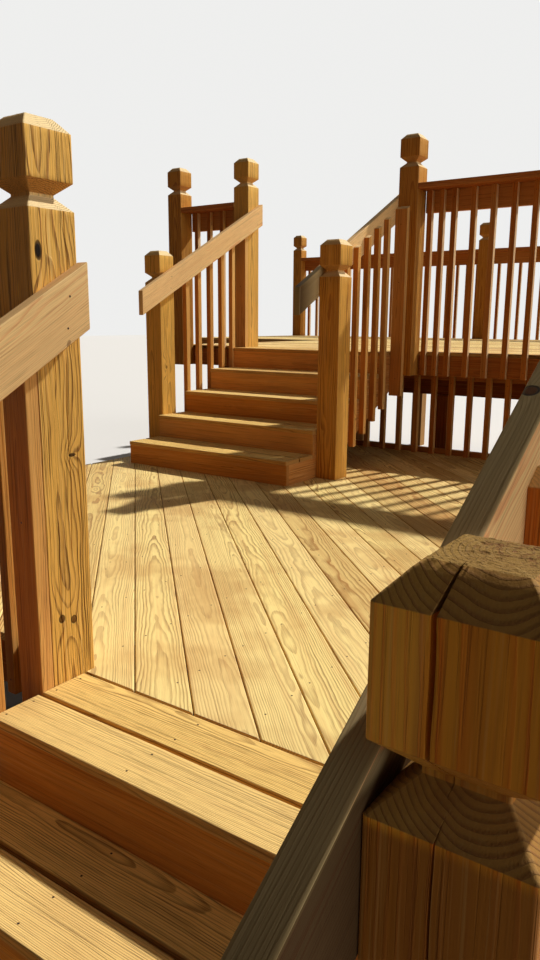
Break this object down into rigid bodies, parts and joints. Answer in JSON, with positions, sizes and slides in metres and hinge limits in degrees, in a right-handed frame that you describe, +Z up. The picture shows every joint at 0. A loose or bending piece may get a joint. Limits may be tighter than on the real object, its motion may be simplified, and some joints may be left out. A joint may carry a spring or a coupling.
{
  "type": "wooden deck stairs",
  "caption": "Outdoor timber stairs: a closed-riser flight to a landing of diagonal boards, then a second flight up to a deck, with square newels, handrails and picket guards.",
  "frame": {"origin": "centre of the footprint's bounding box, on the ground", "axes": "+Y up the flights away from the lowest step, +X to the right of someone climbing, +Z up"},
  "size_m": [6.293, 9.675, 2.8425],
  "materials": {
    "posts": "bare pressure-treated pine with grain, knots and light weathering",
    "pickets": "bare pressure-treated pine with grain, knots and light weathering",
    "rails": "bare pressure-treated pine with grain, knots and light weathering",
    "boards": "bare pressure-treated pine with grain, knots and light weathering",
    "framing": "bare pressure-treated pine with grain, knots and light weathering"
  },
  "bodies": {
    "root": {"deck_back_pickets": "pickets", "deck_beams": "framing", "deck_boards": "boards", "deck_front_pickets": "pickets", "deck_guard_caps": "rails", "deck_guard_posts": "posts", "deck_guard_rail_boards": "rails", "deck_joists": "framing", "deck_left_bay_pickets": "pickets", "deck_right_pickets": "pickets", "deck_rim_joists": "framing", "landing_beams": "framing", "landing_boards": "boards", "landing_front_pickets": "pickets", "landing_guard_caps": "rails", "landing_guard_posts": "posts", "landing_guard_rail_boards": "rails", "landing_joists": "framing", "landing_nosing_boards": "boards", "landing_right_pickets": "pickets", "landing_rim_joists": "framing", "lower_handrails": "rails", "lower_left_bottom_newel": "posts", "lower_left_pickets": "pickets", "lower_left_top_newel": "posts", "lower_right_bottom_newel": "posts", "lower_right_pickets": "pickets", "lower_right_top_newel": "posts", "lower_riser_boards": "boards", "lower_stringers": "framing", "lower_tread_boards": "boards", "newel_uprights": "rails", "skirt_nailers": "framing", "skirt_pickets": "pickets", "support_posts": "posts", "upper_handrails": "rails", "upper_left_bottom_newel": "posts", "upper_left_pickets": "pickets", "upper_left_top_newel": "posts", "upper_right_bottom_newel": "posts", "upper_right_pickets": "pickets", "upper_right_top_newel": "posts", "upper_riser_boards": "boards", "upper_stringers": "framing", "upper_tread_boards": "boards"}
  },
  "joints": []
}
